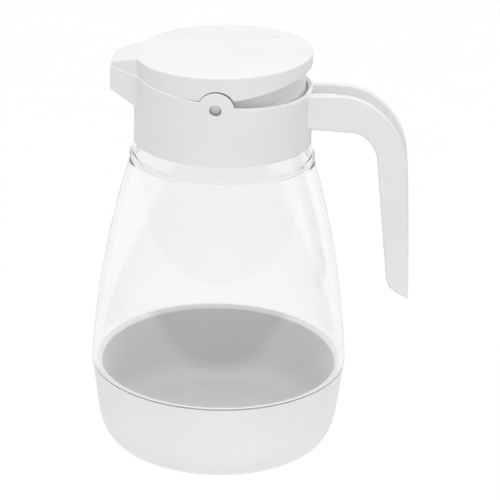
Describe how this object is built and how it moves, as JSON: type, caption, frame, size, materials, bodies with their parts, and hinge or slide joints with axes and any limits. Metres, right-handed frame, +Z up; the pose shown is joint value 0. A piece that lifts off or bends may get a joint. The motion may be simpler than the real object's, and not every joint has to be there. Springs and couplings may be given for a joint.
{
  "type": "syrup dispenser",
  "caption": "Syrup jug: clear bell-shaped body on a white cup base, white collar with a short spout and an open-ended handle, and a rocking lid that bares the spout when its rear is pressed.",
  "frame": {"origin": "centre of the flat foot, on the axis of the round body", "axes": "+Z up along the body's axis, spout towards -X, handle towards +X, hinge of the lid along Y"},
  "size_m": [0.1606, 0.13, 0.207],
  "materials": {
    "white_plastic": "moulded, semi-gloss polypropylene",
    "clear_plastic": "moulded, clear polished polycarbonate"
  },
  "bodies": {
    "pitcher": {"base": "white_plastic", "body": "clear_plastic", "collar": "white_plastic"},
    "lid": {"lid": "white_plastic"}
  },
  "joints": [
    {"name": "lid_rock", "type": "hinge", "parent": "pitcher", "child": "lid", "pos_m": [0, 0, 0.1893], "axis": [0, 1, 0], "range_deg": [0, 12]}
  ]
}
